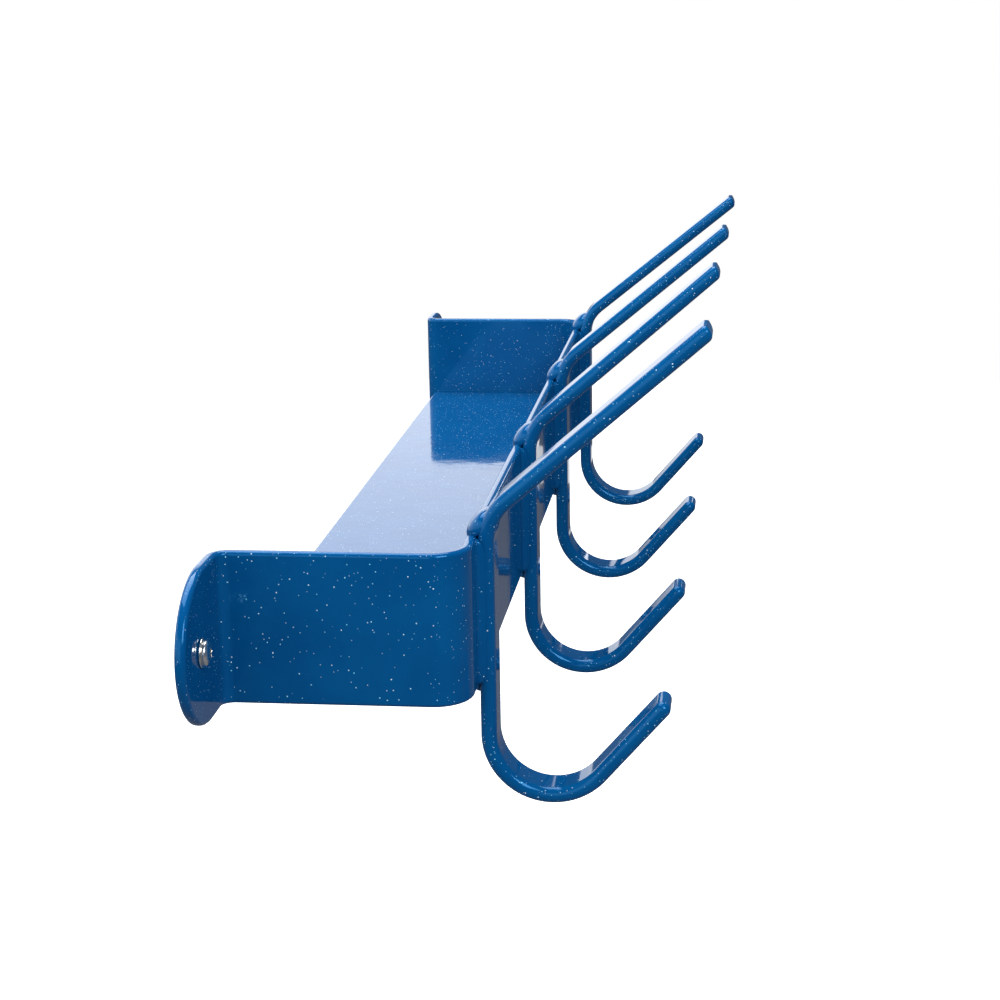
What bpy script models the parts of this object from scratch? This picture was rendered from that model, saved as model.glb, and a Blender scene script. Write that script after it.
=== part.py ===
"""Wall rack for pool hoses and poles: a flat steel bar bent into a hat shape, with a shelf and four hooks.

Metres, +Z up, +X along the wall. The wall is the plane Y = 0 and the rack stands out from it towards -Y. The
origin is on the wall, at the middle of the rack's length and at the height of its two screws.
"""

from math import copysign, cos, pi, radians, sin, sqrt, tan

import bmesh
import bpy
from mathutils import Matrix

# The bent bar: 3 in by 3/16 in flat steel with its coating, which adds 0.4 mm to each face.
BAR_HEIGHT = 0.0770
BAR_THICK = 0.0055
RACK_LENGTH = 0.6985  # between the outer faces of the two end panels
RACK_DEPTH = 0.126  # from the wall to the front face
BEND_RADIUS = 0.0195  # outer radius of the two front corners
EAR_LENGTH = 0.067  # from the end panel's outer face to the ear's tip
EAR_ROUND = 0.044  # length of the ear's rounded end
EAR_BEND = 0.0055  # inner radius where the panel turns into the ear
SCREW_FROM_PANEL = 0.038
SCREW_HOLE_RADIUS = 0.0035

# The shelf plate inside the bar.
SHELF_TOP = 0.0184  # above the bar's lower edge
SHELF_THICK = 0.004
SHELF_WALL_GAP = 0.0058

# The hooks: flat steel of about 5/16 in by 7/8 in with its coating, bent the thin way.
HOOK_SPACING = 0.2032
HOOK_THICK = 0.0081
HOOK_WIDTH = 0.0232
HOOK_EDGE = 0.0034  # radius of the rounded long edges
PRONG_RISES = [radians(rise) for rise in (40.6, 40.7, 39.4, 38.5)]  # each hook is bent by hand
PRONG_LENGTH = 0.1431  # from where its centre line meets the stem's to its cut end
PRONG_KNEE = 0.0858  # height of that meeting point above the bar's lower edge
PRONG_BEND = 0.0285  # centre line radius
PRONG_CORNER = 0.0035
J_RADIUS = 0.0315  # centre line radius
J_CENTRE = -0.0255  # height of its centre above the bar's lower edge
J_RISE = radians(48.8)
J_STRAIGHT = 0.0515  # to the end of the rounded tip

# The welds.
TOP_WELD_HALF_WIDTH = 0.0108
TOP_WELD_FULLNESS = 0.7  # under 1 makes its two ends blunter than an ellipse's
TOP_WELD_TO_BAR = 0.0120  # how far it runs from its middle, down the line of the prong's back
TOP_WELD_TO_PRONG = 0.0080  # and up that line
TOP_WELD_RISE = 0.0068  # how far it stands out from its middle, away from the hook
TOP_WELD_ROOT = 0.0026  # and into the hook
TOP_WELD_BEFORE_FACE = 0.0042  # where its middle is: in front of the bar's face
TOP_WELD_ABOVE_EDGE = 0.0047  # and above the bar's upper edge
LOWER_WELD_LEG = 0.004
LOWER_WELD_LENGTH = 0.016
SHELF_WELD_LEG = 0.0035
SHELF_WELD_SIDE = 0.080
SHELF_WELD_FRONT = 0.560

# The two mounting screws: 1/4 in by 1/2 in pan heads on thin washers.
HEAD_RADIUS = 0.0060
HEAD_HEIGHT = 0.0032
HEAD_RIM = 0.0012
SHANK_RADIUS = 0.0030
SCREW_LENGTH = 0.0127
SCREW_POINT = 0.0035
RECESS_LENGTH = 0.0062
RECESS_WIDTH = 0.0013
RECESS_DEPTH = 0.0019
WASHER_RADIUS = 0.0072
WASHER_HOLE = 0.0034
WASHER_THICK = 0.0010

GAP = 0.0003  # between pieces that touch
FUSE = 0.00002  # merge distance

LOWER_EDGE = -BAR_HEIGHT / 2
SHELF_HEIGHT = LOWER_EDGE + SHELF_TOP
STEM_BACK = -RACK_DEPTH - GAP
STEM_CENTRE = STEM_BACK - HOOK_THICK / 2
PANEL_INNER = RACK_LENGTH / 2 - BAR_THICK
FRONT_INNER = -RACK_DEPTH + BAR_THICK
HOOK_PLACES = [HOOK_SPACING * (i - (len(PRONG_RISES) - 1) / 2) for i in range(len(PRONG_RISES))]

# Rotations that lay a flat outline's own X and Y along two of the world's axes.
ALONG_YZ = (pi / 2, 0, pi / 2)
ALONG_XZ = (pi / 2, 0, 0)


def clear_scene():
    for obj in list(bpy.data.objects):
        bpy.data.objects.remove(obj, do_unlink=True)


def new_collection(name):
    collection = bpy.data.collections.new(name)
    bpy.context.scene.collection.children.link(collection)
    return collection


def make_material(name, colour, metallic, roughness):
    material = bpy.data.materials.new(name)
    material.use_nodes = True
    shader = material.node_tree.nodes["Principled BSDF"]
    shader.inputs["Base Color"].default_value = (*colour, 1)
    shader.inputs["Metallic"].default_value = metallic
    shader.inputs["Roughness"].default_value = roughness
    return material


clear_scene()
PARTS = new_collection("wall_hose_rack")
CUTTERS = new_collection("cutters")
BLUE_COAT = make_material("blue_glitter_coating", (0.004, 0.075, 0.200), 0.0, 0.15)
BRIGHT_STEEL = make_material("bright_steel", (0.70, 0.70, 0.71), 1.0, 0.25)


def place(name, data, material, location=(0, 0, 0), rotation=(0, 0, 0)):
    obj = bpy.data.objects.new(name, data)
    obj.location = location
    obj.rotation_euler = rotation
    if not data.materials:
        data.materials.append(material)
    PARTS.objects.link(obj)
    return obj


def as_cutter(obj):
    PARTS.objects.unlink(obj)
    CUTTERS.objects.link(obj)
    obj.hide_render = True
    obj.display_type = "WIRE"
    return obj


def mesh_from(name, bm):
    mesh = bpy.data.meshes.new(name)
    bm.to_mesh(mesh)
    bm.free()
    return mesh


def smooth(mesh):
    mesh.shade_smooth()
    mesh.set_sharp_from_angle(angle=radians(35))


def cut(obj, cutter):
    modifier = obj.modifiers.new("cut_" + cutter.name, "BOOLEAN")
    modifier.operation = "DIFFERENCE"
    modifier.object = cutter


def arc(centre, radius, start, end, steps):
    """Points on a circle from one angle to another, both ends included."""
    angles = [start + (end - start) * i / steps for i in range(steps + 1)]
    return [(centre[0] + radius * cos(a), centre[1] + radius * sin(a)) for a in angles]


def flat_piece(name, outlines, thickness, material, location, rotation=(0, 0, 0)):
    """A plate: a filled 2D curve, extruded equally to both sides. Outlines after the first are holes."""
    curve = bpy.data.curves.new(name, "CURVE")
    curve.dimensions = "2D"
    curve.fill_mode = "BOTH"
    curve.extrude = thickness / 2
    for outline in outlines:
        spline = curve.splines.new("POLY")
        spline.points.add(len(outline) - 1)
        for point, (x, y) in zip(spline.points, outline):
            point.co = (x, y, 0, 1)
        spline.use_cyclic_u = True
    obj = place(name, curve, material, location, rotation)
    weld = obj.modifiers.new("weld", "WELD")
    weld.merge_threshold = FUSE
    return obj


def bar_stations():
    """Places along half of the bar's centre line, from the middle to the ear's tip: x, y and half height."""
    half = BAR_HEIGHT / 2
    panel = RACK_LENGTH / 2 - BAR_THICK / 2
    corner = (RACK_LENGTH / 2 - BEND_RADIUS, -RACK_DEPTH + BEND_RADIUS)
    front = arc(corner, BEND_RADIUS - BAR_THICK / 2, -pi / 2, 0, 9)
    ear_radius = EAR_BEND + BAR_THICK / 2
    turn = (panel + ear_radius, -BAR_THICK / 2 - ear_radius)
    ear = arc(turn, ear_radius, pi, pi / 2, 6)
    stations = [(x, y, half) for x, y in [(0, -RACK_DEPTH + BAR_THICK / 2)] + front + ear]
    round_start = RACK_LENGTH / 2 + EAR_LENGTH - EAR_ROUND
    steps = 12
    for i in range(steps + 1):
        angle = pi / 2 * i / steps
        x = round_start + EAR_ROUND * sin(angle)
        stations.append((x, -BAR_THICK / 2, half * cos(angle)))
    return stations


def make_rack_bar():
    """The hat shaped bar: an open strip down its middle, thickened, with a screw hole in each ear."""
    half = bar_stations()
    whole = [(-x, y, height) for x, y, height in reversed(half[1:])] + half
    bm = bmesh.new()
    columns = [[bm.verts.new((x, y, z)) for z in (-height, height)] for x, y, height in whole]
    for left, right in zip(columns, columns[1:]):
        bm.faces.new((left[0], right[0], right[1], left[1]))
    bmesh.ops.remove_doubles(bm, verts=bm.verts, dist=FUSE)
    bmesh.ops.recalc_face_normals(bm, faces=bm.faces)
    bar = place("rack_bar", mesh_from("rack_bar", bm), BLUE_COAT)
    solidify = bar.modifiers.new("thickness", "SOLIDIFY")
    solidify.thickness = BAR_THICK
    solidify.offset = 0
    solidify.use_even_offset = True
    for side, sign in (("left", -1), ("right", 1)):
        hole = bmesh.new()
        bmesh.ops.create_cone(
            hole,
            cap_ends=True,
            segments=24,
            radius1=SCREW_HOLE_RADIUS,
            radius2=SCREW_HOLE_RADIUS,
            depth=BAR_THICK * 4,
        )
        x = sign * (RACK_LENGTH / 2 + SCREW_FROM_PANEL)
        cutter = place("hole_" + side, mesh_from("hole_" + side, hole), BLUE_COAT, (x, 0, 0), ALONG_XZ)
        cut(bar, as_cutter(cutter))
    return bar


def make_shelf():
    """The level plate, with its front corners rounded to fit inside the bends."""
    side = PANEL_INNER - GAP
    front = FRONT_INNER + GAP
    radius = BEND_RADIUS - BAR_THICK - GAP
    outline = [(side, -SHELF_WALL_GAP), (-side, -SHELF_WALL_GAP)]
    outline += arc((-side + radius, front + radius), radius, pi, 1.5 * pi, 7)
    outline += arc((side - radius, front + radius), radius, -pi / 2, 0, 7)
    middle = SHELF_HEIGHT - SHELF_THICK / 2
    return flat_piece("shelf_plate", [outline], SHELF_THICK, BLUE_COAT, (0, 0, middle))


def hook_sides(thickness, prong_rise):
    """The hook's outline as Y and Z: down its front side from the prong's cut end, then up its rear side."""
    half = thickness / 2
    knee = LOWER_EDGE + PRONG_KNEE
    turn = pi / 2 - prong_rise
    run = PRONG_BEND * tan(turn / 2)
    bend = (STEM_CENTRE - PRONG_BEND, knee - run)
    out = (-cos(prong_rise), sin(prong_rise))
    up = (sin(prong_rise), cos(prong_rise))
    tip = (STEM_CENTRE + out[0] * PRONG_LENGTH, knee + out[1] * PRONG_LENGTH)
    lower_corner = (
        tip[0] - up[0] * (half - PRONG_CORNER) - out[0] * PRONG_CORNER,
        tip[1] - up[1] * (half - PRONG_CORNER) - out[1] * PRONG_CORNER,
    )
    end_angle = pi - prong_rise  # the way the prong points
    bowl = (STEM_CENTRE - J_RADIUS, LOWER_EDGE + J_CENTRE)
    last = -pi / 2 - J_RISE
    straight = J_STRAIGHT - half
    rise = (-cos(J_RISE), sin(J_RISE))
    bowl_end = (bowl[0] + J_RADIUS * cos(last), bowl[1] + J_RADIUS * sin(last))
    j_tip = (bowl_end[0] + rise[0] * straight, bowl_end[1] + rise[1] * straight)

    front = arc(lower_corner, PRONG_CORNER, end_angle, end_angle + pi / 2, 4)
    front += arc(bend, PRONG_BEND - half, turn, 0, 6)
    front += arc(bowl, J_RADIUS - half, 0, last, 14)
    cap = arc(j_tip, half, last + pi, last + 2 * pi, 8)
    rear = arc(bowl, J_RADIUS + half, last, 0, 14)
    rear += arc(bend, PRONG_BEND + half, 0, turn, 6)
    rear.append((tip[0] + up[0] * half, tip[1] + up[1] * half))
    return front + cap[1:-1] + rear


def make_hook(number, x, prong_rise):
    name = f"hook_{number}"
    outline = hook_sides(HOOK_THICK, prong_rise)
    hook = flat_piece(name, [outline], HOOK_WIDTH, BLUE_COAT, (x, 0, 0), ALONG_YZ)
    edges = hook.modifiers.new("rounded_edges", "BEVEL")
    edges.width = HOOK_EDGE
    edges.segments = 3
    edges.limit_method = "ANGLE"
    edges.angle_limit = radians(60)
    return hook


def mesh_copy(obj, name):
    """The evaluated piece as a plain mesh object at the same place, which a Boolean can use."""
    bpy.context.view_layer.update()
    graph = bpy.context.evaluated_depsgraph_get()
    mesh = bpy.data.meshes.new_from_object(obj.evaluated_get(graph))
    bm = bmesh.new()
    bm.from_mesh(mesh)
    bmesh.ops.remove_doubles(bm, verts=bm.verts, dist=FUSE)
    bm.to_mesh(mesh)
    bm.free()
    mesh.name = name
    matrix = obj.matrix_world.copy()
    bpy.data.objects.remove(obj, do_unlink=True)
    copy = place(name, mesh, BLUE_COAT)
    copy.matrix_world = matrix
    return copy


def make_top_weld(number, x, prong_rise):
    """The dome of weld on the bar's upper edge, behind the hook's bend."""
    name = f"top_weld_{number}"
    bm = bmesh.new()
    bmesh.ops.create_uvsphere(bm, u_segments=20, v_segments=12, radius=1)
    for vert in bm.verts:
        vert.co.x = copysign(abs(vert.co.x) ** TOP_WELD_FULLNESS, vert.co.x) * TOP_WELD_HALF_WIDTH
        vert.co.y *= TOP_WELD_TO_BAR if vert.co.y > 0 else TOP_WELD_TO_PRONG
        vert.co.z *= TOP_WELD_RISE if vert.co.z > 0 else TOP_WELD_ROOT
    bmesh.ops.rotate(bm, cent=(0, 0, 0), matrix=Matrix.Rotation(-prong_rise, 3, "X"), verts=bm.verts)
    middle = (0, -RACK_DEPTH - TOP_WELD_BEFORE_FACE, BAR_HEIGHT / 2 + TOP_WELD_ABOVE_EDGE)
    bmesh.ops.translate(bm, vec=middle, verts=bm.verts)
    cut_result = bmesh.ops.bisect_plane(
        bm,
        geom=bm.verts[:] + bm.edges[:] + bm.faces[:],
        plane_co=(0, 0, BAR_HEIGHT / 2 + GAP),
        plane_no=(0, 0, 1),
        clear_inner=True,
    )
    rim = [item for item in cut_result["geom_cut"] if isinstance(item, bmesh.types.BMEdge)]
    bmesh.ops.contextual_create(bm, geom=rim)
    bmesh.ops.recalc_face_normals(bm, faces=bm.faces)
    mesh = mesh_from(name, bm)
    smooth(mesh)
    weld = place(name, mesh, BLUE_COAT, (x, 0, 0))
    space = f"hook_space_{number}"
    outline = hook_sides(HOOK_THICK + 2 * GAP, prong_rise)
    around = flat_piece(space, [outline], HOOK_WIDTH + 2 * GAP, BLUE_COAT, (x, 0, 0), ALONG_YZ)
    cut(weld, as_cutter(mesh_copy(around, space)))
    return weld


def fillet(leg, ways):
    """A weld bead's section: a right angle in the corner and a round face. ways are its legs' signs."""
    bulge = arc((0, 0), leg, 0, pi / 2, 5)
    points = [(0, 0)] + bulge
    return [(ways[0] * x, ways[1] * y) for x, y in points]


def make_lower_weld(number, x):
    """The bead under the bar's lower edge, against the stem's back."""
    corner = (x, STEM_BACK + GAP, LOWER_EDGE - GAP)
    section = fillet(LOWER_WELD_LEG, (1, -1))
    return flat_piece(f"lower_weld_{number}", [section], LOWER_WELD_LENGTH, BLUE_COAT, corner, ALONG_YZ)


def make_shelf_welds():
    """The beads under the shelf, along both end panels and the front."""
    under = SHELF_HEIGHT - SHELF_THICK - GAP
    middle = (FRONT_INNER - SHELF_WALL_GAP) / 2
    for side, sign in (("left", -1), ("right", 1)):
        corner = (sign * (PANEL_INNER - GAP), middle, under)
        section = fillet(SHELF_WELD_LEG, (-sign, -1))
        flat_piece(f"shelf_weld_{side}", [section], SHELF_WELD_SIDE, BLUE_COAT, corner, ALONG_XZ)
    corner = (0, FRONT_INNER + GAP, under)
    section = fillet(SHELF_WELD_LEG, (1, -1))
    flat_piece("shelf_weld_front", [section], SHELF_WELD_FRONT, BLUE_COAT, corner, ALONG_YZ)


def make_washer(side, x):
    ring = arc((0, 0), WASHER_RADIUS, 0, 2 * pi, 32)[:-1]
    hole = arc((0, 0), WASHER_HOLE, 0, 2 * pi, 24)[:-1]
    place_at = (x, -BAR_THICK - GAP - WASHER_THICK / 2, 0)
    name = f"screw_washer_{side}"
    return flat_piece(name, [ring, hole], WASHER_THICK, BRIGHT_STEEL, place_at, ALONG_XZ)


def make_screw(side, x):
    """A pan head screw, turned from its profile, with a cross recess."""
    crown = HEAD_HEIGHT - HEAD_RIM
    ball = (HEAD_RADIUS**2 + crown**2) / (2 * crown)
    profile = []
    for i in range(7):
        radius = HEAD_RADIUS * i / 6
        profile.append((radius, HEAD_HEIGHT - ball + sqrt(ball**2 - radius**2)))
    profile += [(HEAD_RADIUS, 0), (SHANK_RADIUS, 0)]
    profile += [(SHANK_RADIUS, -SCREW_LENGTH + SCREW_POINT), (0, -SCREW_LENGTH)]
    bm = bmesh.new()
    points = [bm.verts.new((radius, 0, z)) for radius, z in profile]
    for upper, lower in zip(points, points[1:]):
        bm.edges.new((upper, lower))
    name = f"mounting_screw_{side}"
    seat = -BAR_THICK - WASHER_THICK - 2 * GAP
    screw = place(name, mesh_from(name, bm), BRIGHT_STEEL, (x, seat, 0), ALONG_XZ)
    turn = screw.modifiers.new("turned", "SCREW")
    turn.steps = turn.render_steps = 24
    turn.use_merge_vertices = True
    turn.merge_threshold = FUSE
    for way, size in (("a", (RECESS_LENGTH, RECESS_WIDTH)), ("b", (RECESS_WIDTH, RECESS_LENGTH))):
        slot = bmesh.new()
        bmesh.ops.create_cube(slot, size=1)
        bmesh.ops.scale(slot, vec=(*size, 2 * RECESS_DEPTH), verts=slot.verts)
        bmesh.ops.translate(slot, vec=(0, 0, HEAD_HEIGHT), verts=slot.verts)
        slot_name = f"recess_{side}_{way}"
        cutter = place(slot_name, mesh_from(slot_name, slot), BRIGHT_STEEL, (x, seat, 0), ALONG_XZ)
        cut(screw, as_cutter(cutter))
    return screw


make_rack_bar()
make_shelf()
make_shelf_welds()
for index, (place_x, rise_angle) in enumerate(zip(HOOK_PLACES, PRONG_RISES), 1):
    make_hook(index, place_x, rise_angle)
    make_top_weld(index, place_x, rise_angle)
    make_lower_weld(index, place_x)
for side_name, side_sign in (("left", -1), ("right", 1)):
    screw_x = side_sign * (RACK_LENGTH / 2 + SCREW_FROM_PANEL)
    make_washer(side_name, screw_x)
    make_screw(side_name, screw_x)
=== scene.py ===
"""Looks for the wall rack with four hooks: a bent flat bar, a shelf, the hooks, their welds and two screws.

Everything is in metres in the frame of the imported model: +X along the wall, +Z up, the wall at Y = 0.
"""

from math import copysign, cos, pi, radians, sin, sqrt, tan

import bmesh
import bpy
from mathutils import Matrix, Vector


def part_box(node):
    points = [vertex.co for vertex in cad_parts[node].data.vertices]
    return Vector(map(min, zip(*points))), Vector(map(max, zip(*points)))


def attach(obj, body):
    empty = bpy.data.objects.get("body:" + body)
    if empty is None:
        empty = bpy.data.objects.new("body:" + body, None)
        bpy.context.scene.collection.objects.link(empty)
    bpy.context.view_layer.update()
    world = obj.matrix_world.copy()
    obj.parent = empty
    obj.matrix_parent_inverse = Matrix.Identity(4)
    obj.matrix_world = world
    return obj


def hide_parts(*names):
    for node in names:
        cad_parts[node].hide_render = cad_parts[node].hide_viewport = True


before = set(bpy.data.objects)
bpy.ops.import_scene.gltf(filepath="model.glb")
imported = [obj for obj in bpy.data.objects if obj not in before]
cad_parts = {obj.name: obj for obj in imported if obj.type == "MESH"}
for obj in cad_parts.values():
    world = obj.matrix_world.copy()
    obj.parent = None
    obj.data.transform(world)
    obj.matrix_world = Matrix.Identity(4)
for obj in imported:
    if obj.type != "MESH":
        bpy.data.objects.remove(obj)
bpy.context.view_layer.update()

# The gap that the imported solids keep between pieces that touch.
GAP = 0.0003

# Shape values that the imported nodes' boxes don't give.
BEND_RADIUS = 0.0195
EAR_ROUND = 0.044
EAR_BEND = 0.0055
BAR_EDGE = 0.0023
SHELF_EDGE = 0.0016
HOOK_THICK = 0.0081
HOOK_EDGE = 0.0038
PRONG_RISES = [radians(rise) for rise in (40.6, 40.7, 39.4, 38.5)]
PRONG_LENGTH = 0.1431
PRONG_KNEE = 0.0858
PRONG_BEND = 0.0285
PRONG_CORNER = 0.0042
J_RADIUS = 0.0315
J_CENTRE = -0.0255
J_RISE = radians(48.8)
J_STRAIGHT = 0.0515
PRONG_END_EDGE = 0.0026
STEM_FILLET = 0.0040
TOP_WELD_HALF_WIDTH = 0.0108
TOP_WELD_FULLNESS = 0.7
TOP_WELD_TO_BAR = 0.0120
TOP_WELD_TO_PRONG = 0.0080
TOP_WELD_RISE = 0.0068
TOP_WELD_ROOT = 0.0026
TOP_WELD_BEFORE_FACE = 0.0042
TOP_WELD_ABOVE_EDGE = 0.0047
WELD_RIPPLE = 0.0016
SCREW_SHANK_SHARE = 0.44  # of the head's radius
SCREW_RIM_SHARE = 0.34  # of the head's height
SCREW_POINT = 0.0035
RECESS_TURNS = (radians(24), radians(114))
RECESS_MOUTH = (0.0070, 0.0015)
RECESS_FLOOR = (0.0030, 0.0009)
RECESS_DEPTH = 0.0046  # of the cutter, half of it inside the head
THREAD_PITCH = 0.0016
THREAD_HEIGHT = 0.00062
WASHER_HOLE_SHARE = 0.47  # of the washer's radius
MERGE = 0.000005

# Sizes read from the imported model.
BAR_LOW, BAR_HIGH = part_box("rack_bar")
SHELF_LOW, SHELF_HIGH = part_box("shelf_plate")
BAR_THICK = SHELF_LOW.y - GAP - BAR_LOW.y
PANEL_OUTER = SHELF_HIGH.x + GAP + BAR_THICK
BAR_MIDDLE = (BAR_LOW.z + BAR_HIGH.z) / 2
STEM_CENTRE = BAR_LOW.y - GAP - HOOK_THICK / 2

# The camera: where it stands, where it looks and how long its lens is.
CAMERA_PLACE = Vector((-1.3081, -0.2601, 0.3069))
CAMERA_YAW = radians(7.01)
CAMERA_DIP = radians(14.02)
CAMERA_ROLL = radians(-0.95)
CAMERA_LENS = 76.6
FLOOR_HEIGHT = -0.52
FLOOR_HALF_SIZE = 3.0
FLOOR_SEEN = 0.85
FLOOR_GLOW = 0.05
BACKDROP_LIGHT = 1.9
ROOM_LIGHT = 0.16
ROOM_TINT = (0.50, 0.85, 1.40)
WHITE = (1.0, 1.0, 1.0)


def arc(centre, radius, start, end, steps):
    """Points on a circle from one angle to another, both ends included."""
    angles = [start + (end - start) * i / steps for i in range(steps + 1)]
    return [(centre[0] + radius * cos(a), centre[1] + radius * sin(a)) for a in angles]


# ---------------------------------------------------------------- materials


class Nodes:
    """A small helper that adds and joins the nodes of one material or world."""

    def __init__(self, owner):
        owner.use_nodes = True
        self.tree = owner.node_tree

    def add(self, kind, **settings):
        node = self.tree.nodes.new("ShaderNode" + kind)
        for name, value in settings.items():
            setattr(node, name, value)
        return node

    def join(self, source, target):
        self.tree.links.new(source, target)

    def maths(self, operation, first, second=0.0):
        node = self.add("Math", operation=operation)
        for socket, value in zip(node.inputs, (first, second)):
            if isinstance(value, (int, float)):
                socket.default_value = value
            else:
                self.join(value, socket)
        return node.outputs[0]

    def ramp(self, value, low, high, out_low=0.0, out_high=1.0):
        node = self.add("MapRange", interpolation_type="SMOOTHSTEP")
        self.join(value, node.inputs["Value"])
        node.inputs["From Min"].default_value = low
        node.inputs["From Max"].default_value = high
        node.inputs["To Min"].default_value = out_low
        node.inputs["To Max"].default_value = out_high
        return node.outputs["Result"]

    def mix(self, amount, first, second):
        node = self.add("Mix", data_type="RGBA")
        sockets = (node.inputs[0], node.inputs[6], node.inputs[7])
        for socket, value in zip(sockets, (amount, first, second)):
            if isinstance(value, (int, float)):
                socket.default_value = value
            elif isinstance(value, tuple):
                socket.default_value = (*value, 1)
            else:
                self.join(value, socket)
        return node.outputs[2]

    def noise(self, place, scale, detail=2.0, roughness=0.5):
        node = self.add("TexNoise")
        self.join(place, node.inputs["Vector"])
        node.inputs["Scale"].default_value = scale
        node.inputs["Detail"].default_value = detail
        node.inputs["Roughness"].default_value = roughness
        return node.outputs["Fac"]

    def bump(self, height, strength, distance, normal=None):
        node = self.add("Bump")
        self.join(height, node.inputs["Height"])
        node.inputs["Strength"].default_value = strength
        node.inputs["Distance"].default_value = distance
        if normal is not None:
            self.join(normal, node.inputs["Normal"])
        return node.outputs["Normal"]


def flakes(nodes, place, scale, reach, share):
    """A scatter of glitter flakes: one in each picked cell of a cell pattern, 1 on a flake and 0 off it."""
    cells = nodes.add("TexVoronoi")
    nodes.join(place, cells.inputs["Vector"])
    cells.inputs["Scale"].default_value = scale
    tint = nodes.add("SeparateColor")
    nodes.join(cells.outputs["Color"], tint.inputs[0])
    spot = nodes.ramp(cells.outputs["Distance"], reach, reach * 0.55)
    picked = nodes.maths("GREATER_THAN", tint.outputs[0], 1 - share)
    bright = nodes.ramp(tint.outputs[1], 0.0, 1.0, 0.25, 1.0)
    return nodes.maths("MULTIPLY", nodes.maths("MULTIPLY", spot, picked), bright), tint.outputs[2]


def coating_material():
    """Thick gloss coating, deep blue with white and cyan glitter under it, and a soft orange peel."""
    material = bpy.data.materials.new("blue_glitter_coating")
    nodes = Nodes(material)
    shader = nodes.tree.nodes["Principled BSDF"]
    place = nodes.add("TexCoord").outputs["Object"]
    cloud = nodes.ramp(nodes.noise(place, 38.0, 3.0), 0.35, 0.65)
    blue = nodes.mix(cloud, (0.0008, 0.072, 0.222), (0.0012, 0.082, 0.242))
    colour = blue
    for scale, reach, share in ((330.0, 0.14, 0.50), (640.0, 0.17, 0.34)):
        mask, hue = flakes(nodes, place, scale, reach, share)
        glint = nodes.mix(hue, (0.85, 0.95, 1.0), (0.18, 0.72, 0.95))
        colour = nodes.mix(mask, colour, glint)
    nodes.join(colour, shader.inputs["Base Color"])
    smears = nodes.ramp(nodes.noise(place, 60.0, 4.0, 0.6), 0.3, 0.7, 0.045, 0.085)
    nodes.join(smears, shader.inputs["Roughness"])
    nodes.join(nodes.bump(nodes.noise(place, 80.0, 1.0), 1.0, 0.00006), shader.inputs["Normal"])
    shader.inputs["IOR"].default_value = 1.5
    shader.inputs["Specular Tint"].default_value = (0.15, 0.50, 0.95, 1)
    return material


def steel_material():
    """Bright plated steel, lightly brushed and scuffed."""
    material = bpy.data.materials.new("bright_steel")
    nodes = Nodes(material)
    shader = nodes.tree.nodes["Principled BSDF"]
    place = nodes.add("TexCoord").outputs["Object"]
    scuffs = nodes.ramp(nodes.noise(place, 900.0, 4.0, 0.7), 0.35, 0.7)
    nodes.join(nodes.mix(scuffs, (0.90, 0.88, 0.83), (0.74, 0.71, 0.64)), shader.inputs["Base Color"])
    shader.inputs["Metallic"].default_value = 1.0
    nodes.join(nodes.maths("ADD", nodes.maths("MULTIPLY", scuffs, 0.16), 0.14), shader.inputs["Roughness"])
    nodes.join(nodes.bump(nodes.noise(place, 1500.0, 3.0), 0.6, 0.00003), shader.inputs["Normal"])
    return material


def floor_material():
    material = bpy.data.materials.new("pale_floor")
    nodes = Nodes(material)
    shader = nodes.tree.nodes["Principled BSDF"]
    place = nodes.add("TexCoord").outputs["Object"]
    seen = nodes.add("LightPath").outputs["Is Camera Ray"]
    pale = nodes.mix(nodes.noise(place, 2.0), (0.90, 0.90, 0.90), (0.92, 0.92, 0.92))
    nodes.join(nodes.mix(seen, (0.12, 0.12, 0.13), pale), shader.inputs["Base Color"])
    glow = nodes.maths("ADD", nodes.maths("MULTIPLY", seen, FLOOR_SEEN), FLOOR_GLOW)
    nodes.join(glow, shader.inputs["Emission Strength"])
    shader.inputs["Roughness"].default_value = 0.9
    shader.inputs["Specular IOR Level"].default_value = 0.1
    shader.inputs["Emission Color"].default_value = (1, 1, 1, 1)
    return material


COATING = coating_material()
STEEL = steel_material()


# ------------------------------------------------------------------- pieces


def new_piece(name, bm, material, replaced):
    """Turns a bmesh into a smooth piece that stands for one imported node."""
    bmesh.ops.recalc_face_normals(bm, faces=bm.faces)
    mesh = bpy.data.meshes.new(name)
    bm.to_mesh(mesh)
    bm.free()
    mesh.shade_smooth()
    mesh.materials.append(material)
    obj = bpy.data.objects.new(name, mesh)
    bpy.context.scene.collection.objects.link(obj)
    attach(obj, "root")
    if replaced:
        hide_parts(replaced)
    return obj


def coated(name, bm, replaced):
    return new_piece(name, bm, COATING, replaced)


def plated(name, bm, replaced):
    return new_piece(name, bm, STEEL, replaced)


def round_edges(obj, width, segments):
    bevel = obj.modifiers.new("round_edges", "BEVEL")
    bevel.width = width
    bevel.segments = segments
    bevel.limit_method = "ANGLE"
    bevel.angle_limit = radians(50)
    obj.modifiers.new("even_normals", "WEIGHTED_NORMAL")


def slab(outline, thickness, to_world):
    """A bmesh of a flat outline, thickened equally to both sides and then moved by to_world."""
    bm = bmesh.new()
    face = bm.faces.new([bm.verts.new((x, y, -thickness / 2)) for x, y in outline])
    extruded = bmesh.ops.extrude_face_region(bm, geom=[face])
    top = [item for item in extruded["geom"] if isinstance(item, bmesh.types.BMVert)]
    bmesh.ops.translate(bm, vec=(0, 0, thickness), verts=top)
    bmesh.ops.transform(bm, matrix=to_world, verts=bm.verts)
    return bm


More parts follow.
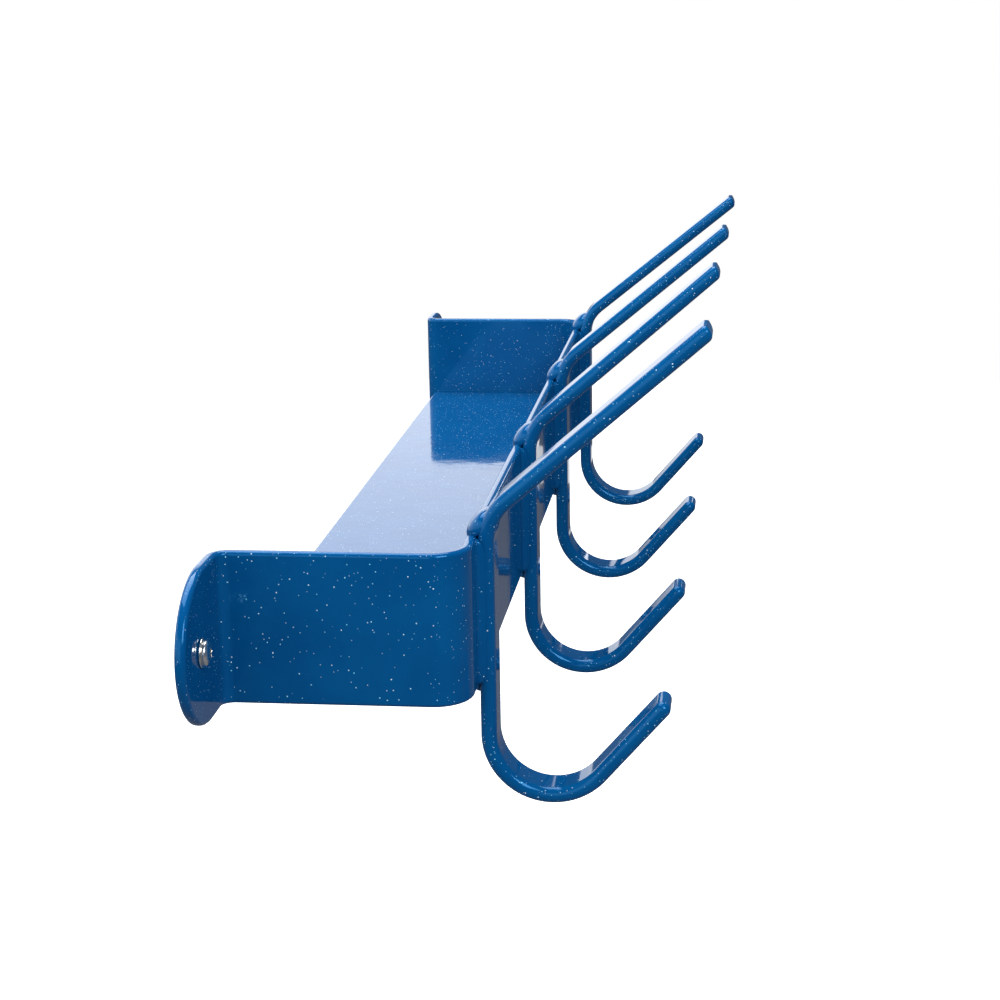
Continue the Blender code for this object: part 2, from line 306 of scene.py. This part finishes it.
def skin(rings):
    """One closed skin through rings of equally many points, with its first and last ring filled."""
    bm = bmesh.new()
    rows = [[bm.verts.new(point) for point in ring] for ring in rings]
    for before, after in zip(rows, rows[1:]):
        for a in range(len(before)):
            b = (a + 1) % len(before)
            bm.faces.new((before[a], before[b], after[b], after[a]))
    bm.faces.new(rows[0])
    bm.faces.new(rows[-1])
    bmesh.ops.remove_doubles(bm, verts=bm.verts, dist=MERGE)
    return bm


def rounded_corners(half_wide, half_high, radius, steps):
    """A rounded rectangle's points, each with how far it lies inside the full height."""
    points = []
    for side, top, start in ((1, 1, 0), (-1, 1, 90), (-1, -1, 180), (1, -1, 270)):
        middle = (side * (half_wide - radius), top * (half_high - radius))
        points += arc(middle, radius, radians(start), radians(start + 90), steps)
    return [(wide, high, half_high - abs(high)) for wide, high in points]


def make_rack_bar():
    """The flat bar with its bends. The ears' round ends keep the same rounded edge all the way round."""
    half_height = (BAR_HIGH.z - BAR_LOW.z) / 2
    half_thick = BAR_THICK / 2
    panel = PANEL_OUTER - half_thick
    corner = (PANEL_OUTER - BEND_RADIUS, BAR_LOW.y + BEND_RADIUS)
    ear_radius = EAR_BEND + half_thick
    ear_turn = (panel + ear_radius, -half_thick - ear_radius)
    # Each place has the centre line's point, the way to the outer face, and the angle round the ear's end.
    places = [((0, BAR_LOW.y + half_thick), (0, -1), 0)]
    for way in arc((0, 0), 1, -pi / 2, 0, 26):
        reach = BEND_RADIUS - half_thick
        places.append(((corner[0] + way[0] * reach, corner[1] + way[1] * reach), way, 0))
    for way in arc((0, 0), 1, pi, pi / 2, 14):
        point = (ear_turn[0] + way[0] * ear_radius, ear_turn[1] + way[1] * ear_radius)
        places.append((point, (-way[0], -way[1]), 0))
    round_start = BAR_HIGH.x - EAR_ROUND
    steps = 44
    places += [((round_start, -half_thick), (0, -1), pi / 2 * i / steps) for i in range(steps + 1)]
    section = rounded_corners(half_thick, half_height, BAR_EDGE, 6)
    rings = []
    for sign in (-1, 1):
        for point, way, angle in reversed(places[1:]) if sign < 0 else places:
            ring = []
            for out, high, inside in section:
                x = point[0] + way[0] * out + (EAR_ROUND - min(inside, BAR_EDGE)) * sin(angle)
                ring.append((sign * x, point[1] + way[1] * out, BAR_MIDDLE + high * cos(angle)))
            rings.append(ring)
    bar = coated("rack_bar_coated", skin(rings), "rack_bar")
    bar.modifiers.new("even_normals", "WEIGHTED_NORMAL")


def make_shelf():
    radius = BEND_RADIUS - BAR_THICK - GAP
    left, right, front, rear = SHELF_LOW.x, SHELF_HIGH.x, SHELF_LOW.y, SHELF_HIGH.y
    outline = [(right, rear), (left, rear)]
    outline += arc((left + radius, front + radius), radius, pi, 1.5 * pi, 16)
    outline += arc((right - radius, front + radius), radius, -pi / 2, 0, 16)
    middle = Matrix.Translation((0, 0, (SHELF_LOW.z + SHELF_HIGH.z) / 2))
    bm = slab(outline, SHELF_HIGH.z - SHELF_LOW.z, middle)
    round_edges(coated("shelf_plate_coated", bm, "shelf_plate"), SHELF_EDGE, 4)


class Station:
    """A place along the hook: its centre, the way to its rear side, and how far off each side stands."""

    def __init__(self, centre, across, front=HOOK_THICK / 2, rear=HOOK_THICK / 2, narrower=0.0):
        self.centre = centre
        self.across = across
        self.front = front
        self.rear = rear
        self.narrower = narrower


def prong_end(tip, inward, across):
    """The prong's cut end: its lower corner rounded off, and a small round along its other edges."""
    half = HOOK_THICK / 2
    steps = 14
    stations = []
    for i in range(steps + 1):
        angle = pi / 2 * (1 - i / steps)
        depth = PRONG_CORNER * (1 - sin(angle))
        near = max(0.0, PRONG_END_EDGE - depth)
        inset = PRONG_END_EDGE - sqrt(PRONG_END_EDGE**2 - near**2)
        front = half - PRONG_CORNER * (1 - cos(angle)) - inset
        stations.append(Station(tip + inward * depth, across, front, half - inset, inset))
    return stations


def turning(centre, radius, start, end, steps):
    """Stations round a bend."""
    ways = [Vector(way) for way in arc((0, 0), 1, start, end, steps)]
    return [Station(Vector(centre) + way * radius, way) for way in ways]


def hook_stations(prong_rise):
    half = HOOK_THICK / 2
    knee = BAR_LOW.z + PRONG_KNEE
    turn = pi / 2 - prong_rise
    run = PRONG_BEND * tan(turn / 2)
    bend = (STEM_CENTRE - PRONG_BEND, knee - run)
    out = Vector((-cos(prong_rise), sin(prong_rise)))
    up = Vector((sin(prong_rise), cos(prong_rise)))
    bowl = (STEM_CENTRE - J_RADIUS, BAR_LOW.z + J_CENTRE)
    last = -pi / 2 - J_RISE
    rise = Vector((-cos(J_RISE), sin(J_RISE)))
    stations = prong_end(Vector((STEM_CENTRE, knee)) + out * PRONG_LENGTH, -out, up)
    stations += turning(bend, PRONG_BEND, turn, 0, 24)
    stations += turning(bowl, J_RADIUS, 0, last, 48)
    straight_end = stations[-1].centre + rise * (J_STRAIGHT - half)
    across = stations[-1].across
    steps = 10
    for i in range(steps + 1):
        angle = radians(86) * i / steps
        reach = half * cos(angle)
        centre = straight_end + rise * half * sin(angle)
        stations.append(Station(centre, across, reach, reach, half - reach))
    return stations


def section_ring(station, half_width):
    """The hook's section as offsets: across the hook's width, and towards its rear side."""
    radius = min(HOOK_EDGE, (station.front + station.rear) / 2)
    side = half_width - station.narrower - radius
    ring = arc((side, station.rear - radius), radius, 0, pi / 2, 7)
    ring += arc((-side, station.rear - radius), radius, pi / 2, pi, 7)
    ring += arc((-side, radius - station.front), radius, pi, 1.5 * pi, 7)
    ring += arc((side, radius - station.front), radius, 1.5 * pi, 2 * pi, 7)
    return ring


def make_hook(number, prong_rise):
    """Flat steel with round edges, carried along its own bends as one skin."""
    node = f"hook_{number}"
    low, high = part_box(node)
    x = (low.x + high.x) / 2
    rings = []
    for station in hook_stations(prong_rise):
        section = section_ring(station, (high.x - low.x) / 2)
        places = [(wide, station.centre + station.across * rear) for wide, rear in section]
        rings.append([(x + wide, place.x, place.y) for wide, place in places])
    hook = coated(node + "_coated", skin(rings), node)
    hook.modifiers.new("even_normals", "WEIGHTED_NORMAL")


def make_stem_fillets(number):
    """The coating that fills the corners between the hook's stem and the bar's face."""
    low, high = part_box(f"hook_{number}")
    steps = 36
    for side, x, sign in (("left", low.x, -1), ("right", high.x, 1)):
        rings = []
        for i in range(steps + 1):
            along = i / steps
            z = BAR_LOW.z + BAR_EDGE * 0.6 + along * (BAR_HIGH.z - BAR_LOW.z - BAR_EDGE * 1.2)
            ending = min(along, 1 - along) * steps / 5
            reach = STEM_FILLET * (sqrt(1 - (1 - ending) ** 2) if ending < 1 else 1)
            reach = max(reach, 0.0004)
            # From the bar's face round to the stem's side, and back through the inside of both.
            curve = arc((x + sign * reach, BAR_LOW.y - reach), reach, pi / 2, pi if sign > 0 else 0, 8)
            deep = HOOK_THICK / 2
            ring = [(x + sign * reach, BAR_LOW.y + GAP)] + curve
            ring += [(x - sign * deep, BAR_LOW.y - reach), (x - sign * deep, BAR_LOW.y + GAP)]
            rings.append([(*point, z) for point in ring])
        coated(f"stem_fillet_{number}_{side}", skin(rings), None)


def make_top_weld(number, prong_rise):
    """The dome of weld under the coating, sunk into the bar's upper edge and the hook's back."""
    node = f"top_weld_{number}"
    low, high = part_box(node)
    bm = bmesh.new()
    bmesh.ops.create_uvsphere(bm, u_segments=40, v_segments=24, radius=1)
    for vert in bm.verts:
        vert.co.x = copysign(abs(vert.co.x) ** TOP_WELD_FULLNESS, vert.co.x) * TOP_WELD_HALF_WIDTH
        vert.co.y *= TOP_WELD_TO_BAR if vert.co.y > 0 else TOP_WELD_TO_PRONG
        vert.co.z *= TOP_WELD_RISE if vert.co.z > 0 else TOP_WELD_ROOT
    bmesh.ops.rotate(bm, cent=(0, 0, 0), matrix=Matrix.Rotation(-prong_rise, 3, "X"), verts=bm.verts)
    middle = ((low.x + high.x) / 2, BAR_LOW.y - TOP_WELD_BEFORE_FACE, BAR_HIGH.z + TOP_WELD_ABOVE_EDGE)
    bmesh.ops.translate(bm, vec=middle, verts=bm.verts)
    coated(node + "_coated", bm, node)


def bead(name, node, start, end, leg, ways):
    """A fillet weld with its ripples, along one axis. ways are the two directions out of its corner."""
    start, end = Vector(start), Vector(end)
    length = (end - start).length
    along = (end - start) / length
    first, second = (Vector(way) for way in ways)
    rings = max(12, int(length / WELD_RIPPLE) * 5)
    around = 9
    bm = bmesh.new()
    previous = None
    for i in range(rings + 1):
        travel = length * i / rings
        ripple = 1 - 0.10 * (travel / WELD_RIPPLE % 1.0)
        ending = min(travel, length - travel) / leg
        taper = sqrt(1 - (1 - min(ending, 1)) ** 2) if ending < 1 else 1
        radius = leg * ripple * max(taper, 0.12)
        middle = start + along * travel
        ring = [bm.verts.new(middle)]
        for k in range(around):
            angle = pi / 2 * k / (around - 1)
            ring.append(bm.verts.new(middle + first * radius * cos(angle) + second * radius * sin(angle)))
        if previous:
            for a in range(len(ring)):
                b = (a + 1) % len(ring)
                bm.faces.new((previous[a], previous[b], ring[b], ring[a]))
        else:
            bm.faces.new(ring)
        previous = ring
    bm.faces.new(previous)
    return coated(name, bm, node)


def make_lower_weld(number):
    node = f"lower_weld_{number}"
    low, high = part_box(node)
    leg = high.y - low.y
    start, end = (low.x, low.y, high.z), (high.x, low.y, high.z)
    bead(node + "_coated", node, start, end, leg, ((0, 1, 0), (0, 0, -1)))


def make_shelf_welds():
    low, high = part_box("shelf_weld_front")
    start, end = (low.x, low.y, high.z), (high.x, low.y, high.z)
    leg = high.z - low.z
    bead("shelf_weld_front_coated", "shelf_weld_front", start, end, leg, ((0, 1, 0), (0, 0, -1)))
    for side, sign in (("left", -1), ("right", 1)):
        node = "shelf_weld_" + side
        low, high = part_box(node)
        corner = low.x if sign < 0 else high.x
        start, end = (corner, low.y, high.z), (corner, high.y, high.z)
        bead(node + "_coated", node, start, end, leg, ((-sign, 0, 0), (0, 0, -1)))


def lathe(profile, steps=64):
    """A closed turned bmesh about Z from (radius, z) points; the first and last points lie on the axis."""
    bm = bmesh.new()
    rings = []
    for radius, z in profile:
        if radius == 0:
            rings.append([bm.verts.new((0, 0, z))] * steps)
        else:
            turns = [2 * pi * i / steps for i in range(steps)]
            rings.append([bm.verts.new((radius * cos(t), radius * sin(t), z)) for t in turns])
    for upper, lower in zip(rings, rings[1:]):
        for i in range(steps):
            j = (i + 1) % steps
            corners = list(dict.fromkeys((upper[i], upper[j], lower[j], lower[i])))
            bm.faces.new(corners)
    return bm


def outward(x, y, z):
    """Places a turned piece with its own Z pointing away from the wall."""
    return Matrix.Translation((x, y, z)) @ Matrix.Rotation(pi / 2, 4, "X")


def make_screw(side):
    node = "mounting_screw_" + side
    low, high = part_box(node)
    washer_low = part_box("screw_washer_" + side)[0]
    x, z = (low.x + high.x) / 2, (low.z + high.z) / 2
    radius = (high.x - low.x) / 2
    seat = washer_low.y
    height = seat - low.y
    rim = height * SCREW_RIM_SHARE
    crown = height - rim
    shank = radius * SCREW_SHANK_SHARE
    point = high.y - seat
    profile = [(0, height)]
    profile += [(radius * sin(a), rim + crown * cos(a)) for a in (pi / 2 * i / 14 for i in range(1, 15))]
    profile += [(radius, rim * 0.35), (radius * 0.96, 0.00012), (radius * 0.93, 0), (shank, 0)]
    profile += [(shank, -point + SCREW_POINT), (0, -point)]
    bm = lathe(profile)
    bmesh.ops.transform(bm, matrix=outward(x, seat, z), verts=bm.verts)
    screw = plated(node + "_plated", bm, node)
    cutters = []
    for turn in RECESS_TURNS:
        slot = bmesh.new()
        bmesh.ops.create_cube(slot, size=1)
        for vert in slot.verts:
            length, width = RECESS_MOUTH if vert.co.z > 0 else RECESS_FLOOR
            vert.co.x *= length
            vert.co.y *= width
            vert.co.z *= RECESS_DEPTH
        bmesh.ops.rotate(slot, cent=(0, 0, 0), matrix=Matrix.Rotation(turn, 3, "Z"), verts=slot.verts)
        bmesh.ops.transform(slot, matrix=outward(x, seat - height, z), verts=slot.verts)
        mesh = bpy.data.meshes.new("recess")
        slot.to_mesh(mesh)
        slot.free()
        cutter = bpy.data.objects.new("recess", mesh)
        bpy.context.scene.collection.objects.link(cutter)
        recess = screw.modifiers.new("recess", "BOOLEAN")
        recess.operation = "DIFFERENCE"
        recess.object = cutter
        cutters.append(cutter)
    bpy.context.view_layer.update()
    graph = bpy.context.evaluated_depsgraph_get()
    finished = bpy.data.meshes.new_from_object(screw.evaluated_get(graph))
    screw.modifiers.clear()
    screw.data = finished
    finished.set_sharp_from_angle(angle=radians(32))
    for cutter in cutters:
        bpy.data.objects.remove(cutter, do_unlink=True)


def make_thread(side):
    """The screw's thread, a ridge that winds round the shank."""
    low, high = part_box("mounting_screw_" + side)
    washer_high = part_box("screw_washer_" + side)[1]
    x, z = (low.x + high.x) / 2, (low.z + high.z) / 2
    shank = (high.x - low.x) / 2 * SCREW_SHANK_SHARE
    start, end = washer_high.y + 0.001, high.y - 0.0006
    steps_a_turn = 28
    count = int((end - start) / THREAD_PITCH * steps_a_turn)
    bm = bmesh.new()
    previous = None
    for i in range(count + 1):
        y = start + (end - start) * i / count
        angle = 2 * pi * i / steps_a_turn
        left = max(0.0, min(1.0, (end - y) / 0.0032))
        root = shank * (0.25 + 0.75 * left) * 0.96
        crest = root + THREAD_HEIGHT * (0.35 + 0.65 * left)
        ring = []
        for radius, offset in ((root, -0.0005), (crest, -0.00006), (crest, 0.00006), (root, 0.0005)):
            ring.append(bm.verts.new((x + radius * cos(angle), y + offset, z + radius * sin(angle))))
        if previous:
            for a in range(4):
                b = (a + 1) % 4
                bm.faces.new((previous[a], previous[b], ring[b], ring[a]))
        else:
            bm.faces.new(ring)
        previous = ring
    bm.faces.new(previous)
    plated("screw_thread_" + side, bm, None)


def make_washer(side):
    node = "screw_washer_" + side
    low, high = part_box(node)
    outer = (high.x - low.x) / 2
    hole = outer * WASHER_HOLE_SHARE
    thick = high.y - low.y
    soft = thick * 0.4
    section = [(hole, soft), (hole + soft, 0), (outer - soft, 0)]
    section += [(outer - soft * 0.3, soft * 0.3), (outer, soft)]
    section += [(radius, thick - depth) for radius, depth in reversed(section)]
    steps = 64
    bm = bmesh.new()
    rings = []
    for i in range(steps):
        turn = 2 * pi * i / steps
        rings.append([bm.verts.new((r * cos(turn), r * sin(turn), d)) for r, d in section])
    for i, ring in enumerate(rings):
        after = rings[(i + 1) % steps]
        for a in range(len(section)):
            b = (a + 1) % len(section)
            bm.faces.new((ring[a], ring[b], after[b], after[a]))
    to_world = outward((low.x + high.x) / 2, high.y, (low.z + high.z) / 2)
    bmesh.ops.transform(bm, matrix=to_world, verts=bm.verts)
    washer = plated(node + "_plated", bm, node)
    washer.data.set_sharp_from_angle(angle=radians(40))


make_rack_bar()
make_shelf()
make_shelf_welds()
for hook_number, rise_angle in enumerate(PRONG_RISES, 1):
    make_hook(hook_number, rise_angle)
    make_stem_fillets(hook_number)
    make_top_weld(hook_number, rise_angle)
    make_lower_weld(hook_number)
for end_name in ("left", "right"):
    make_screw(end_name)
    make_thread(end_name)
    make_washer(end_name)


# --------------------------------------------------- floor, light and camera


def make_floor():
    mesh = bpy.data.meshes.new("floor")
    bm = bmesh.new()
    bmesh.ops.create_grid(bm, x_segments=1, y_segments=1, size=FLOOR_HALF_SIZE)
    bmesh.ops.translate(bm, vec=(0, 0, FLOOR_HEIGHT), verts=bm.verts)
    bm.to_mesh(mesh)
    bm.free()
    mesh.materials.append(floor_material())
    floor = bpy.data.objects.new("floor", mesh)
    bpy.context.scene.collection.objects.link(floor)


def add_area_light(name, place, target, size, power):
    light = bpy.data.lights.new(name, "AREA")
    light.shape = "RECTANGLE"
    light.size, light.size_y = size
    light.energy = power
    obj = bpy.data.objects.new(name, light)
    obj.location = place
    obj.visible_camera = False
    aim = Vector(target) - Vector(place)
    obj.rotation_euler = aim.to_track_quat("-Z", "Y").to_euler()
    bpy.context.scene.collection.objects.link(obj)


def make_world():
    """A studio: a bright wall behind the rack, on its wall side, and a dim blue room elsewhere."""
    world = bpy.data.worlds.new("studio")
    bpy.context.scene.world = world
    nodes = Nodes(world)
    background = nodes.tree.nodes["Background"]
    way = nodes.add("SeparateXYZ")
    nodes.join(nodes.add("TexCoord").outputs["Generated"], way.inputs[0])
    ahead = nodes.maths("MAXIMUM", way.outputs[0], 0.01)
    wall_side = nodes.ramp(nodes.maths("DIVIDE", way.outputs[1], ahead), 0.06, 0.11)
    above = nodes.ramp(way.outputs[2], -0.10, -0.05)
    below_top = nodes.ramp(way.outputs[2], 0.60, 0.40)
    brighter = nodes.ramp(way.outputs[2], 0.0, 0.2, BACKDROP_LIGHT * 0.75, BACKDROP_LIGHT)
    upright_share = nodes.maths("MULTIPLY", above, below_top)
    backdrop = nodes.maths("MULTIPLY", nodes.maths("MULTIPLY", wall_side, upright_share), brighter)
    room = nodes.maths("MAXIMUM", backdrop, ROOM_LIGHT)
    seen = nodes.add("LightPath").outputs["Is Camera Ray"]
    nodes.join(nodes.maths("MAXIMUM", room, seen), background.inputs["Strength"])
    white = nodes.maths("MAXIMUM", nodes.ramp(backdrop, ROOM_LIGHT, 2 * ROOM_LIGHT), seen)
    nodes.join(nodes.mix(white, ROOM_TINT, WHITE), background.inputs["Color"])


def make_lights():
    add_area_light("overhead", (0.3, 0.35, 1.7), (0, -0.1, 0), (1.8, 1.3), 46)
    add_area_light("front_softbox", (-1.35, -0.85, 0.95), (-0.2, -0.1, 0), (0.8, 0.8), 21)
    add_area_light("far_softbox", (2.4, -0.72, 0.36), (0, -0.15, 0), (0.14, 0.14), 0.22)
    add_area_light("floor_card", (2.0, -0.36, -0.68), (0, -0.13, 0.5), (0.9, 0.50), 1.2)


def make_camera():
    camera = bpy.data.cameras.new("camera")
    camera.lens = CAMERA_LENS
    camera.sensor_width = 36
    camera.clip_end = 100
    obj = bpy.data.objects.new("camera", camera)
    level = Vector((cos(CAMERA_YAW), sin(CAMERA_YAW), 0))
    ahead = level * cos(CAMERA_DIP) - Vector((0, 0, sin(CAMERA_DIP)))
    right = Vector((sin(CAMERA_YAW), -cos(CAMERA_YAW), 0))
    up = right.cross(ahead)
    rolled_right = cos(CAMERA_ROLL) * right + sin(CAMERA_ROLL) * up
    rolled_up = -sin(CAMERA_ROLL) * right + cos(CAMERA_ROLL) * up
    axes = Matrix((rolled_right, rolled_up, -ahead)).transposed().to_4x4()
    obj.matrix_world = Matrix.Translation(CAMERA_PLACE) @ axes
    bpy.context.scene.collection.objects.link(obj)
    bpy.context.scene.camera = obj


make_floor()
make_world()
make_lights()
make_camera()
bpy.context.scene.view_settings.view_transform = "Standard"

bpy.context.view_layer.update()
